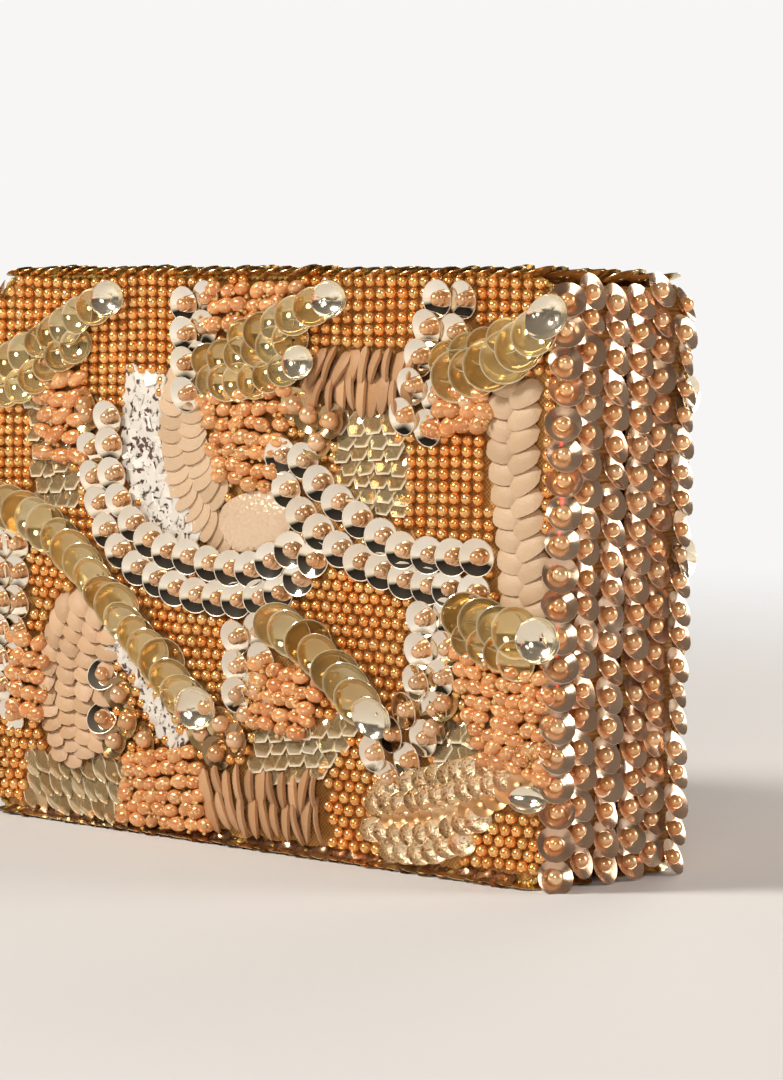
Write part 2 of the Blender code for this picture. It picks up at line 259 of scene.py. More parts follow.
def thin_pad(name, node, facing, quilted, material, body):
    """A pad in the place of a CAD pad: its open face crowned or quilted, its rim drawn in."""
    low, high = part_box(node)
    centre, half = (low + high) / 2, (high - low) / 2
    thick = half.y
    bm = bmesh.new()
    bmesh.ops.create_grid(bm, x_segments=110, y_segments=80, size=1)
    for v in bm.verts:
        edge = min((1 - abs(v.co.x)) * half.x, (1 - abs(v.co.y)) * half.z) / MM
        crown = min(1.0, (max(edge, 0) / 3.0) ** 0.5)
        x, z = v.co.x * half.x / MM, v.co.y * half.z / MM
        dip = 0.0
        if quilted:
            lines = [abs(((x + side * z) / QUILT) % 1 - 0.5) * 2 for side in (1, -1)]
            dip = 0.55 * math.exp(-min(1 - max(lines), 1) * 14)
        rise = thick * (-0.2 + 1.15 * crown * (1 - dip))
        v.co = (centre.x + v.co.x * half.x, centre.y + facing * rise, centre.z + v.co.y * half.z)
    skin = bmesh.ops.extrude_face_region(bm, geom=bm.faces[:] + bm.edges[:] + bm.verts[:],
                                         use_keep_orig=True)
    for v in (g for g in skin["geom"] if isinstance(g, bmesh.types.BMVert)):
        v.co.y = centre.y - facing * thick
    bmesh.ops.recalc_face_normals(bm, faces=bm.faces[:])
    laid_in(name, bm, material, body, node, 60)


for half, body, facing in (("front", "front_half", -1), ("back", "back_half", 1)):
    thin_pad(f"{half}_quilted_lining", f"{half}_lining_pad", -facing, True, satin, body)
    thin_pad(f"{half}_felt_wadding", f"{half}_wadding", facing, False, felted, body)

# ---------------------------------------------------------------------------------------------
# Strips that follow the bag's outline: the satin round the tray walls, the net of the gusset bands
# and the nets of the two faces. All are cloth, stretched over what they cover.
# ---------------------------------------------------------------------------------------------
panel_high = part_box("front_panel")[1]
HALF_WIDTH = panel_high.x / MM
HEIGHT = panel_high.z / MM
CORNER = 7.0            # radius of the bag's rounded corners
NET_THICK = 0.3
NET_INSET = 0.8         # the face nets stop this far inside the outline
NET_Y = -panel_high.y / MM + NET_THICK      # outer surface of the net, front and back alike
BAND_INSET = 1.6        # the band's net lies this far inside the outline

net, tree, shader = finish("bronze_net", (0.24, 0.16, 0.06), 0.55, 0.1)
threads = bumped(tree, shader, weave, "Threads", 7000.0, 0.6, 0.0002)
# Painted shade: the net is coloured darker where its weave dips and lighter on the raised crossings
net_colour_with_weave_shade = add(tree, "Mix", {"Factor": threads.outputs["Mask"], "A": (0.38, 0.18, 0.04, 1),
                         "B": (0.74, 0.40, 0.12, 1)}, data_type="RGBA")
tree.links.new(net_colour_with_weave_shade.outputs["Result"], shader.inputs["Base Color"])


def outline(inset, corner_steps, straight_steps):
    """Points round the bag's rounded outline, drawn in by an inset."""
    radius = max(CORNER - inset, 1.5)
    wide, tall = HALF_WIDTH - inset - radius, HEIGHT / 2 - inset - radius
    ring = []
    corners = ((1, 1), (-1, 1), (-1, -1), (1, -1), (1, 1))
    for i, (corner, following) in enumerate(zip(corners, corners[1:])):
        for step in range(corner_steps + 1):
            turn = (i + step / corner_steps) * math.pi / 2
            ring.append(Vector((corner[0] * wide + radius * math.cos(turn),
                                HEIGHT / 2 + corner[1] * tall + radius * math.sin(turn))))
        start = ring[-1]
        end = Vector((following[0] * wide + radius * math.cos(turn),
                      HEIGHT / 2 + following[1] * tall + radius * math.sin(turn)))
        ring += [start.lerp(end, s / straight_steps) for s in range(1, straight_steps)]
    return ring


def cloth_strip(name, path, thick, ripple, material, body, replaced):
    """A band of cloth that follows the outline, with small puckers; path is its section, (inset, y)."""
    rows = []
    for (inset_a, y_a), (inset_b, y_b) in zip(path, path[1:]):
        steps = max(2, round(math.hypot(inset_b - inset_a, y_b - y_a) / 1.5))
        rows += [(inset_a + (inset_b - inset_a) * i / steps, y_a + (y_b - y_a) * i / steps)
                 for i in range(steps)]
    rows.append(path[-1])
    bm = bmesh.new()
    grid, area = [], 0.0
    for r, (inset, y) in enumerate(rows):
        ring = outline(inset, 8, 60)
        around = sum((a - b).length for a, b in zip(ring, ring[1:] + ring[:1]))
        if r:
            area += around * math.hypot(inset - rows[r - 1][0], y - rows[r - 1][1])
        row = []
        for i, p in enumerate(ring):
            before, after = ring[i - 1], ring[(i + 1) % len(ring)]
            inward = Vector((before.y - after.y, after.x - before.x)).normalized()
            pucker = ripple * noise.noise(Vector((p.x * 0.5, p.y * 0.5, y * 0.12)))
            q = p + inward * pucker * math.sin(math.pi * r / (len(rows) - 1))
            row.append(bm.verts.new((q.x * MM, y * MM, q.y * MM)))
        grid.append(row)
    for low_row, high_row in zip(grid, grid[1:]):
        for i in range(len(low_row)):
            j = (i + 1) % len(low_row)
            bm.faces.new((low_row[i], low_row[j], high_row[j], high_row[i]))
    bmesh.ops.recalc_face_normals(bm, faces=bm.faces[:])
    bmesh.ops.solidify(bm, geom=bm.faces[:], thickness=thick * MM)
    made = laid_in(name, bm, material, body, replaced, 50)


for half, body in (("front", "front_half"), ("back", "back_half")):
    low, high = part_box(f"{half}_wall_lining")
    inset = HALF_WIDTH - high.x / MM + 0.3
    mouth, deep = sorted((low.y / MM, high.y / MM), key=abs)
    down_the_wall = ((inset, mouth), (inset, deep), (inset + 2.4, deep))
    cloth_strip(f"{half}_satin_wall", down_the_wall, 0.4, 0.35, satin, body,
                f"{half}_wall_lining")
    low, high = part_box(f"{half}_gusset_band")
    across_the_band = ((BAND_INSET, low.y / MM), (BAND_INSET, high.y / MM))
    cloth_strip(f"{half}_band_net", across_the_band, NET_THICK, 0.0, net, body,
                f"{half}_gusset_band")


def face_net(name, node, facing, body):
    """The embroidered face's ground: net stretched over the wadding."""
    bm = bmesh.new()
    ring = [bm.verts.new((p.x * MM, facing * (NET_Y - NET_THICK) * MM, p.y * MM))
            for p in outline(NET_INSET, 8, 30)]
    skin = bmesh.ops.extrude_face_region(bm, geom=[bm.faces.new(ring)], use_keep_orig=True)
    raised = [g for g in skin["geom"] if isinstance(g, bmesh.types.BMVert)]
    bmesh.ops.translate(bm, verts=raised, vec=(0, facing * NET_THICK * MM, 0))
    bmesh.ops.recalc_face_normals(bm, faces=bm.faces[:])
    made = laid_in(name, bm, net, body, node)


face_net("front_net", "front_panel", -1, "front_half")
face_net("back_net", "back_panel", 1, "back_half")

# ---------------------------------------------------------------------------------------------
# Slip pocket: a satin panel topstitched to the back lining on three sides, its open top edge
# turned over in a hem that stands a little away.
# ---------------------------------------------------------------------------------------------
low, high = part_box("slip_pocket")
bm = bmesh.new()
bmesh.ops.create_grid(bm, x_segments=60, y_segments=40, size=1)
half_x, half_z = (high.x - low.x) / 2, (high.z - low.z) / 2
for v in bm.verts:
    across, along = v.co.x, (v.co.y + 1) / 2
    belly = (1 - across ** 4) * (0.2 + 0.8 * along ** 2) * min(1, 6 * along + 0.1)
    folds = 0.12 * noise.noise(Vector((across * 6, along * 2, 3)))
    y = high.y - 0.5 * MM - (0.9 * belly + folds) * MM
    v.co = (across * half_x, y, low.z + along * 2 * half_z - 1.2 * MM * (1 - across ** 2) * along ** 3)
bmesh.ops.recalc_face_normals(bm, faces=bm.faces[:])
bmesh.ops.solidify(bm, geom=bm.faces[:], thickness=0.35 * MM)
pocket = laid_in("satin_pocket", bm, satin, "back_half", "slip_pocket", 180)


def face_frame(across, upward, outward, origin):
    """The matrix from a face's own millimetres to the bag's."""
    turn = Matrix((across, upward, outward)).transposed().to_4x4()
    return Matrix.Translation(origin) @ turn


def seat(face, u, v, lift=0.0, toward=0.0, tilt=0.0, spin=0.0, size=1.0):
    """Where one element sits: leaning by tilt toward a direction in the face, all in degrees."""
    lean = Matrix.Rotation(math.radians(toward), 4, "Z") @ Matrix.Rotation(math.radians(tilt), 4, "Y")
    turned = lean @ Matrix.Rotation(math.radians(spin - toward), 4, "Z")
    scale = Matrix.Diagonal((*(size if hasattr(size, "__len__") else (size,) * 3), 1))
    return face @ Matrix.Translation((u, v, lift)) @ turned @ scale


def shape(bm):
    """Keep a bmesh as a shape to be sewn: points, faces, and how near each point is to the rim."""
    bmesh.ops.recalc_face_normals(bm, faces=bm.faces[:])
    bm.verts.index_update()
    points = np.array([v.co for v in bm.verts])
    faces = [[v.index for v in f.verts] for f in bm.faces]
    bm.free()
    reach = np.hypot(points[:, 0], points[:, 1])
    return {"points": points, "faces": faces, "rim": reach / reach.max()}


def sew(name, kind, places, material, body, replaced=(), sharp=50):
    """Sew one shape down at every place, as one piece riding on a body."""
    count, size = len(places), len(kind["points"])
    ones = np.hstack([kind["points"], np.ones((size, 1))])
    points = np.concatenate([(ones @ np.array(place).T)[:, :3] for place in places]) * MM
    faces = [[i + size * n for i in f] for n in range(count) for f in kind["faces"]]
    mesh = bpy.data.meshes.new(name)
    mesh.from_pydata(points.tolist(), [], faces)
    mesh.shade_smooth()
    mesh.set_sharp_from_angle(angle=math.radians(sharp))
    lots = np.repeat([random.random() for _ in range(count)], size)
    for label, values in (("lot", lots), ("rim", np.tile(kind["rim"], count))):
        attribute = mesh.attributes.new(label, "FLOAT", "POINT")
        attribute.data.foreach_set("value", values.astype(np.float32))
    mesh.materials.append(material)
    made = bpy.data.objects.new(name, mesh)
    bpy.context.collection.objects.link(made)
    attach(made, body)
    if replaced:
        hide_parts(*replaced)


def ball(across, down, segments, rings):
    """A round bead, its hole lying along X."""
    bm = bmesh.new()
    bmesh.ops.create_uvsphere(bm, u_segments=segments, v_segments=rings, radius=1)
    bmesh.ops.scale(bm, vec=(across / 2, across / 2, down / 2), verts=bm.verts[:])
    bmesh.ops.rotate(bm, cent=(0, 0, 0), matrix=Matrix.Rotation(math.pi / 2, 3, "Y"), verts=bm.verts[:])
    return shape(bm)


thread, tree, shader = finish("satin_thread", (0.66, 0.47, 0.30), 0.5)
bumped(tree, shader, weave, "Threads", 12000.0, 0.3, 0.0001)
stitch = ball(0.35, 1.7, 6, 4)
pocket_back = face_frame((1, 0, 0), (0, 0, 1), (0, -1, 0), (0, low.y / MM + 0.45, 0))
stitches = [seat(pocket_back, x, low.z / MM + 2) for x in np.arange(low.x / MM + 2, high.x / MM - 1, 2.4)]
for side in (low.x / MM + 2, high.x / MM - 2):
    stitches += [seat(pocket_back, side, z, spin=90)
                 for z in np.arange(low.z / MM + 3, high.z / MM - 1, 2.4)]
stitches += [seat(pocket_back, x, high.z / MM - 5 - 1.2 * (1 - (x / 40) ** 2), 0.7)
             for x in np.arange(-36, 37, 2.4)]
sew("pocket_stitching", stitch, stitches, thread, "back_half")

# ---------------------------------------------------------------------------------------------
# Gusset sequins: champagne mirror cups in six columns, each held by a pearl. Every cup overlaps
# the one below it; those at the front and back edges stand further out and turn towards the corner.
# ---------------------------------------------------------------------------------------------
BAND_FACE = HALF_WIDTH - BAND_INSET      # outer surface of the band's net
RIGHT = face_frame((0, 1, 0), (0, 0, 1), (1, 0, 0), (BAND_FACE, 0, 0))
LEFT = face_frame((0, -1, 0), (0, 0, 1), (-1, 0, 0), (-BAND_FACE, 0, 0))

# Each bead takes a colour between two, by its own lot number, darker or lighter by a little
lot, lot_in, lot_out = effect("bead_lot", (
    ("Colour A", "Color", (1, 1, 1, 1)), ("Colour B", "Color", (1, 1, 1, 1)), ("Spread", "Float", 0.15)),
    (("Colour", "Color"),))
number = add(lot, "Attribute", attribute_name="lot")
between = add(lot, "Mix", {"Factor": number.outputs["Fac"], "A": lot_in.outputs["Colour A"],
                           "B": lot_in.outputs["Colour B"]}, data_type="RGBA")
sevens = add(lot, "Math", {0: number.outputs["Fac"], 1: 7.31}, operation="MULTIPLY")
fraction = add(lot, "Math", {0: sevens.outputs[0]}, operation="FRACT")
darkest = add(lot, "Math", {0: 1.0, 1: lot_in.outputs["Spread"]}, operation="SUBTRACT")
strength = add(lot, "Math", {0: fraction.outputs[0], 1: lot_in.outputs["Spread"], 2: darkest.outputs[0]},
               operation="MULTIPLY_ADD")
shade = add(lot, "VectorMath", {0: between.outputs["Result"], "Scale": strength.outputs[0]},
            operation="SCALE")
lot.links.new(shade.outputs[0], lot_out.inputs["Colour"])


def lot_finish(name, colour_a, colour_b, spread, roughness, metallic=0.0, **shader_values):
    """A finish whose colour lies between two, by each bead's lot number; also returns that node."""
    made, tree, shader = finish(name, colour_a, roughness, metallic, **shader_values)
    ground = add(tree, "Group", {"Colour A": (*colour_a, 1), "Colour B": (*colour_b, 1), "Spread": spread},
                 node_tree=lot)
    tree.links.new(ground.outputs["Colour"], shader.inputs["Base Color"])
    return made, tree, shader, ground


def turned_profile(outline, steps):
    """A shape spun from a closed outline of (radius, height) about the upright axis."""
    bm = bmesh.new()
    rim = [bm.verts.new((r, 0, h)) for r, h in outline]
    edges = [bm.edges.new(pair) for pair in zip(rim, rim[1:] + rim[:1])]
    bmesh.ops.spin(bm, geom=rim + edges, cent=(0, 0, 0), axis=(0, 0, 1), angle=2 * math.pi,
                   steps=steps, use_merge=True)
    bmesh.ops.remove_doubles(bm, verts=bm.verts[:], dist=1e-4)
    return shape(bm)


cup_metal, *_ = lot_finish("taupe_mirror", (0.80, 0.55, 0.38), (0.90, 0.70, 0.53), 0.15, 0.18, 0.85)
champagne, *_ = lot_finish("champagne_pearl", (0.82, 0.43, 0.19), (0.92, 0.60, 0.36), 0.25, 0.26, 0.5,
                           Coat_Weight=0.8, Coat_Roughness=0.06)
golden, *_ = lot_finish("golden_pearl", (0.90, 0.47, 0.18), (1.0, 0.66, 0.36), 0.2, 0.24, 0.5,
                        Coat_Weight=0.8, Coat_Roughness=0.06)
cup = turned_profile(((0.45, 0.0), (1.5, 0.08), (2.3, 0.45), (3.7, 0.95), (3.65, 1.05), (2.25, 0.58),
                      (1.45, 0.24), (0.45, 0.16)), 16)
pearl = ball(2.0, 2.0, 12, 8)      # unit radius, sized where it is sewn


def raised(spot, lift, size):
    """A pearl's place: over a cup's or a ring's middle, at its own size."""
    return spot @ Matrix.Translation((0, 0, lift)) @ Matrix.Scale(size, 4)


# (place across the band, cup size, turn towards the corner) of each column
columns = {"front_half": ((-19.0, 0.96, -36), (-11.4, 1.0, -3), (-3.6, 1.04, 2)),
           "back_half": ((4.1, 1.02, -2), (10.4, 1.0, 0), (16.4, 1.0, 14))}
for body, spots in columns.items():
    cups, pearls = [], []
    for face, side in ((RIGHT, 1), (LEFT, -1)):
        first, last = 4.2, HEIGHT - 4.0
        for column, (y, size, turn) in enumerate(spots):
            count = round((last - first) / (5.7 if turn < -9 else 5.4))
            for i in range(count + 1):
                run = first + (last - first) * (i + 0.4 * (column % 2) - 0.2) / count
                run += random.uniform(-0.5, 0.5)
                spot = seat(face, side * y + random.uniform(-0.4, 0.4), run, 1.9 if abs(turn) > 9 else 0.9)
                spot = spot @ Matrix.Rotation(math.radians(side * turn), 4, "Y")
                spot = spot @ Matrix.Rotation(math.radians(-random.gauss(23, 4)), 4, "X")
                spot = spot @ Matrix.Rotation(math.radians(random.gauss(0, 5)), 4, "Y")
                spot = spot @ Matrix.Scale(size, 4)
                cups.append(spot)
                pearls.append(raised(spot, 0.85, 1.4 + 0.2 * random.random()))
    half = body.split("_")[0]
    sew(f"{half}_gusset_cups", cup, cups, cup_metal, body)
    sew(f"{half}_gusset_pearls", pearl, pearls, golden, body)

# ---------------------------------------------------------------------------------------------
# Top and base edges: copper sequins laid like roof tiles in rows along the edge, with no pearls,
# so that from the front they show as thin overlapping wedges.
# ---------------------------------------------------------------------------------------------
BAND_FOOT = HEIGHT - BAND_INSET
TOP = face_frame((1, 0, 0), (0, 1, 0), (0, 0, 1), (0, 0, BAND_FOOT))
BASE = face_frame((1, 0, 0), (0, -1, 0), (0, 0, -1), (0, 0, HEIGHT - BAND_FOOT))

copper, *_ = lot_finish("copper_gold_mirror", (0.84, 0.54, 0.25), (1.0, 0.86, 0.55), 0.3, 0.27, 1.0)
tile = turned_profile(((0.4, 0.0), (2.2, 0.1), (3.7, 0.5), (3.65, 0.62), (2.2, 0.24), (0.4, 0.12)), 14)
rows = {"front_half": (-18.8, -14.6, -10.6, -6.8, -3.0), "back_half": (5.3, 9.1, 12.8, 16.4, 19.2)}
for body, spots in rows.items():
    tiles = []
    for face, side, rise in ((TOP, 1, 1.3), (BASE, -1, 0.5)):
        for row, y in enumerate(spots):
            if face is BASE and -4 < y < 0:             # the halves fold together here
                continue
            for x in np.arange(-HALF_WIDTH + 5.5 + 1.4 * (row % 2), HALF_WIDTH - 4.5, 3.9):
                lean = random.gauss(19, 6) if face is TOP else random.gauss(6, 1)
                along = x + random.uniform(-0.3, 0.3)
                tiles.append(seat(face, along, side * y, rise, 180, lean, size=random.uniform(0.85, 1.0)))
    sew(f"{body.split('_')[0]}_edge_tiles", tile, tiles, copper, body)

# ---------------------------------------------------------------------------------------------
# Ropes of paillettes: large translucent olive-gold cups stacked along a line, each leaning on the
# one before, and closed by a silver mirror cup that faces out.
# ---------------------------------------------------------------------------------------------
FRONT = face_frame((1, 0, 0), (0, 0, 1), (0, -1, 0), (0, -NET_Y, 0))
BACK = face_frame((-1, 0, 0), (0, 0, 1), (0, 1, 0), (0, NET_Y, 0))
claimed = []            # (line, half width) of all that is sewn on the front; seed beads fill the rest
back_claimed = []

# The outer band of a sequin, as a mask: cut edges scatter the light and look paler, so the rim is made
# rougher, or given a painted highlight in a paler colour
rim_band, rim_in, rim_out = effect("rim_band", (("Start", "Float", 0.8), ("End", "Float", 0.97)),
                                   (("Mask", "Float"),))
radius = add(rim_band, "Attribute", attribute_name="rim")
inside = add(rim_band, "MapRange", {"Value": radius.outputs["Fac"], "From Min": rim_in.outputs["Start"],
                                    "From Max": rim_in.outputs["End"]})
rim_band.links.new(inside.outputs[0], rim_out.inputs["Mask"])


def rimmed(tree, shader, start, end, socket, middle, rim):
    """Drive a value of the shader from its middle to its rim; returns the rim mask's node."""
    group = add(tree, "Group", {"Start": start, "End": end}, node_tree=rim_band)
    value = add(tree, "MapRange", {"Value": group.outputs["Mask"], "To Min": middle, "To Max": rim})
    tree.links.new(value.outputs[0], shader.inputs[socket])
    return group


def painted_rim_highlight(tree, shader, ground, group, colour):
    """Paint a highlight at the rim: mix a paler colour into the base colour there."""
    pale = add(tree, "Mix", {"Factor": group.outputs["Mask"], "A": ground.outputs["Colour"],
                             "B": (*colour, 1)}, data_type="RGBA")
    tree.links.new(pale.outputs["Result"], shader.inputs["Base Color"])


olive, tree, shader, ground = lot_finish("olive_lustre", (0.90, 0.60, 0.20), (1.0, 0.85, 0.48), 0.2,
                                         0.1, 0.4, Transmission_Weight=0.6, Coat_Weight=1.0,
                                         Coat_Roughness=0.04, IOR=1.5)
cut_edge = rimmed(tree, shader, 0.90, 0.97, "Transmission Weight", 0.6, 0.1)
# Painted highlight: the paillettes' rims take a paler colour
painted_rim_highlight(tree, shader, ground, cut_edge, (1.0, 0.88, 0.60))
mirror, tree, shader = finish("silver_mirror", (0.90, 0.82, 0.66), 0.16, 0.9)
bumped(tree, shader, grain, "Scale", 380.0, 0.2, 0.0012)
paillette = turned_profile(((0.4, 0.0), (1.9, 0.15), (3.6, 0.75), (4.9, 1.8), (5.3, 2.5), (5.2, 2.6),
                            (4.75, 1.95), (3.5, 0.92), (1.85, 0.33), (0.4, 0.2)), 24)
PAILLETTE = 10.6        # across


def smooth_line(points, step):
    """Points and headings, evenly spaced along a smooth curve through a few chosen ones."""
    points = [Vector(p) for p in points]
    ends = [2 * points[0] - points[1], *points, 2 * points[-1] - points[-2]]
    fine = []
    for before, a, b, after in zip(ends, ends[1:], ends[2:], ends[3:]):
        for i in range(24):
            t = i / 24
            fine.append(0.5 * (2 * a + (b - before) * t + (2 * before - 5 * a + 4 * b - after) * t * t
                               + (3 * a - before - 3 * b + after) * t ** 3))
    fine.append(points[-1])
    length = sum((b - a).length for a, b in zip(fine, fine[1:]))
    count = max(1, round(length / step))
    line, walked, wanted = [], 0.0, 0
    for a, b in zip(fine, fine[1:]):
        span = (b - a).length
        while wanted <= count and walked + span >= wanted * length / count - 1e-9:
            t = (wanted * length / count - walked) / max(span, 1e-9)
            line.append((a + (b - a) * min(max(t, 0), 1), math.degrees(math.atan2(b.y - a.y, b.x - a.x))))
            wanted += 1
        walked += span
    return line


def rope(name, lines, face, body):
    """Stack paillettes along each line, (points, paillette width, ends in a mirror)."""
    stack, ends = [], []
    for line, across, mirrored in lines:
        spots = smooth_line(line, 4.3)
        for i, (p, heading) in enumerate(spots):
            last = mirrored and i == len(spots) - 1
            tilt = 20 if last else random.gauss(25, 6)
            shift = (4.2 if last else 3.0) if face is FRONT else 0.0
            rise = 3.4 if last else 2.2 + random.uniform(-0.2, 0.4)
            toward = heading + random.gauss(0, 16)
            size = across / PAILLETTE * (0.92 if last else random.uniform(0.94, 1.06))
            (ends if last else stack).append(seat(face, p.x + shift, p.y, rise, toward, tilt, size=size))
    sew(f"{name}_paillettes", paillette, stack, olive, body, (name,))
    sew(f"{name}_mirror", paillette, ends, mirror, body)


front_ropes = {
    "rope_top_left": (
        (((-76, 94), (-69, 96.5), (-60, 101), (-52, 105), (-44, 108.5)), 8.2, True),
        (((-74, 89), (-67, 91), (-60, 95), (-53, 98.5)), 7.6, False)),
    "rope_top_middle": (
        (((-5, 101.5), (3, 103.5), (10, 106), (17, 109)), 8.0, True),
        (((-15, 97), (-8, 97.5), (0, 99), (7, 101)), 7.6, False),
        (((-14, 92.5), (-6, 92.5), (2, 93.5), (9, 96.5)), 7.4, True)),
    "rope_long": (
        (((-76.5, 65.3), (-70, 64.5), (-60, 61), (-50, 55), (-38, 45), (-26, 35), (-17, 27.5)),
         9.8, True),),
    "rope_top_right": (
        (((50, 95), (56, 96.5), (62, 98.5), (67, 101.5), (71.5, 105.5)), 9.8, True),
        (((48, 97.5), (55, 100), (61, 102)), 7.6, False)),
    "rope_right": (
        (((53, 50.5), (58, 49.5), (64, 48.5), (70.5, 47)), 9.6, True),
        (((54, 46), (60, 44.5), (66, 43)), 7.6, False)),
    "rope_middle": ((((5, 46), (13, 42.5), (21, 37.5), (30.5, 30)), 9.8, True),),
}
for name, lines in front_ropes.items():
    rope(name, lines, FRONT, "front_half")
    claimed += [([(u + 2.2, v) for u, v in line], across * 0.33) for line, across, _ in lines]
for v in (92.0, 60.5):          # two loose mirror cups at the back of the right side
    sew(f"loose_mirror_{round(v)}", cup, [seat(RIGHT, 20.2, v, 0.6, 0, 10)], mirror, "back_half")
back_ropes = {"back_rope_upper": ((((60, 92), (30, 84), (6, 72)), 9.8, True),),
              "back_rope_lower": ((((-10, 50), (-34, 36), (-60, 28)), 9.8, True),)}
for name, lines in back_ropes.items():
    rope(name, lines, BACK, "back_half")
    back_claimed += [(line, across * 0.33) for line, across, _ in lines]

# ---------------------------------------------------------------------------------------------
# Ring sequins: cream mirror rings a little cupped, in double rows, each overlapping the one
# before, with a champagne pearl standing in the hole.
# ---------------------------------------------------------------------------------------------
ring_metal, tree, shader, _ = lot_finish("cream_mirror", (0.95, 0.84, 0.69), (0.97, 0.90, 0.79), 0.06,
                                         0.07, 1.0)
rimmed(tree, shader, 0.92, 0.98, "Roughness", 0.07, 0.55)
ring = turned_profile(((1.2, 0.0), (2.45, 0.26), (3.7, 0.68), (3.65, 0.82), (2.45, 0.42), (1.2, 0.16)), 24)


def ring_rows(name, rows, face, body, replaced, claims):
    """Rows of rings with their pearls."""
    rings, pearls = [], []
    for row, line in enumerate(rows):
        for p, heading in smooth_line(line, 5.9):
            along = p.x + (1.3 if face is FRONT else 0.0) + random.uniform(-0.3, 0.3)
            spot = seat(face, along, p.y + random.uniform(-0.3, 0.3), 2.3 - 0.4 * (row % 2),
                        heading + random.gauss(0, 12), random.gauss(11, 3))
            rings.append(spot)
            pearls.append(raised(spot, 0.65, 1.38 + 0.12 * random.random()))
        claims.append(([(u + 1.3, v) for u, v in line] if face is FRONT else line, 3.1))
    sew(f"{name}_rings", ring, rings, ring_metal, body, replaced)
    sew(f"{name}_pearls", pearl, pearls, champagne, body)


ring_rows("left_band", (
    ((-42, 84.5), (-41, 75), (-37, 65.5), (-29, 59.5), (-19, 57), (-8, 55.5), (0, 56), (9.5, 60)),
    ((-47.5, 78), (-46, 70), (-41.5, 60), (-34, 54.5), (-24, 51), (-13.5, 49.3), (-3, 49.2), (8, 52.5),
     (15.5, 58.5)),
), FRONT, "front_half", ("ring_band_left",), claimed)
ring_rows("right_band", (
    ((6.5, 78.5), (13, 77.5), (17.5, 72.5), (26, 67.5), (38, 61.8), (48, 61), (57, 61)),
    ((8, 71.5), (13, 66.5), (22, 61), (34, 56.8), (45, 54.8), (56, 54.6)),
), FRONT, "front_half", ("ring_band_right",), claimed)
ring_rows("top_column", (
    ((46, 109.5), (43.5, 103.5), (41.5, 97), (38, 87)), ((52, 109.3), (50, 103), (47.5, 96), (44, 85)),
    ((-20.5, 107.5), (-20.5, 100), (-20, 90)), ((-14.8, 109), (-15, 103), (-16, 97)),
), FRONT, "front_half", ("ring_column_top",), claimed)
ring_rows("right_column", (
    ((43.5, 49), (43, 42.5), (42.5, 36), (37, 27), (32, 22)),
    ((49.5, 50), (49.5, 43.5), (48, 36), (44.5, 26.5), (36, 17.5)),
    ((-5, 42), (-5, 36), (-4.5, 30.5)), ((1, 44), (2, 38.5), (0.5, 32)),
    ((-74.5, 57), (-74, 45), (-74, 27)), ((-69.5, 57), (-69, 44), (-70, 21)),
), FRONT, "front_half", ("ring_column_right",), claimed)
ring_rows("back_band", (
    ((60, 37), (30, 43), (6, 58), (-14, 76), (-38, 90), (-62, 95)),
    ((60, 31), (28, 37), (1, 53), (-18, 71), (-41, 84), (-62, 89)),
), BACK, "back_half", ("back_ring_band",), back_claimed)

# ---------------------------------------------------------------------------------------------
# Peach pearls: oblong lustre pearls laid end to end in slanted rows, with gold glitter beads
# worked into the dips between them.
# ---------------------------------------------------------------------------------------------
# Flecks of a second colour, as a mask and a height
flecks, flecks_in, flecks_out = effect("flecks", (("Scale", "Float", 900.0), ("Cut", "Float", 0.55)),
                                       (("Mask", "Float"), ("Height", "Float")))
where = add(flecks, "TexCoord")
flakes = add(flecks, "TexNoise", {"Vector": where.outputs["Object"], "Scale": flecks_in.outputs["Scale"],
                                  "Detail": 5})
above = add(flecks, "Math", {0: flecks_in.outputs["Cut"], 1: 0.04})
edge = add(flecks, "MapRange", {"Value": flakes.outputs["Fac"], "From Min": flecks_in.outputs["Cut"],
                                "From Max": above.outputs[0]})
flecks.links.new(edge.outputs[0], flecks_out.inputs["Mask"])
flecks.links.new(flakes.outputs["Fac"], flecks_out.inputs["Height"])


def flecked(tree, shader, ground, dark, scale, cut, relief):
    """Flecks of a second colour, a little raised, on a ground: a colour, or a lot colour's node."""
    group = add(tree, "Group", {"Scale": scale, "Cut": cut}, node_tree=flecks)
    under = ground.outputs["Colour"] if hasattr(ground, "outputs") else (*ground, 1)
    paint = add(tree, "Mix", {"Factor": group.outputs["Mask"], "A": under, "B": (*dark, 1)},
                data_type="RGBA")
    bump = add(tree, "Bump", {"Strength": relief, "Distance": 0.0003, "Height": group.outputs["Height"]})
    tree.links.new(paint.outputs["Result"], shader.inputs["Base Color"])
    tree.links.new(bump.outputs[0], shader.inputs["Normal"])


peach, tree, shader, ground = lot_finish("peach_pearl_lustre", (0.80, 0.29, 0.085),
                                         (0.86, 0.41, 0.155), 0.22, 0.22, 0.2, Coat_Weight=0.9,
                                         Coat_Roughness=0.08)
flecked(tree, shader, ground, (1.0, 0.74, 0.34), 1300.0, 0.585, 0.2)
glitter, *_ = lot_finish("gold_glitter", (0.95, 0.52, 0.15), (1.0, 0.78, 0.38), 0.25, 0.28, 0.5)
oblong = ball(1.0, 1.45, 12, 8)
speck = ball(0.8, 0.8, 6, 4)


def patch_rows(first, last, rows, step):
    """Places in rows between a first and a last line; each is (u, v, heading)."""
    spots = []
    for r in range(rows):
        t = r / max(rows - 1, 1)
        start = Vector(first[0]).lerp(Vector(last[0]), t)
        end = Vector(first[1]).lerp(Vector(last[1]), t)
        heading = math.degrees(math.atan2(end.y - start.y, end.x - start.x))
        count = max(1, round((end - start).length / step))
        for i in range(count + 1):
            spots.append((*start.lerp(end, (i + 0.3 * (r % 2)) / count), heading))
    return spots


def patch_claims(first, last, rows):
    """The ground that a patch of rows covers."""
    lines = []
    for r in range(rows):
        t = r / max(rows - 1, 1)
        ends = tuple(tuple(Vector(a).lerp(Vector(b), t)) for a, b in zip(first, last))
        lines.append((ends, 2.0))
    return lines


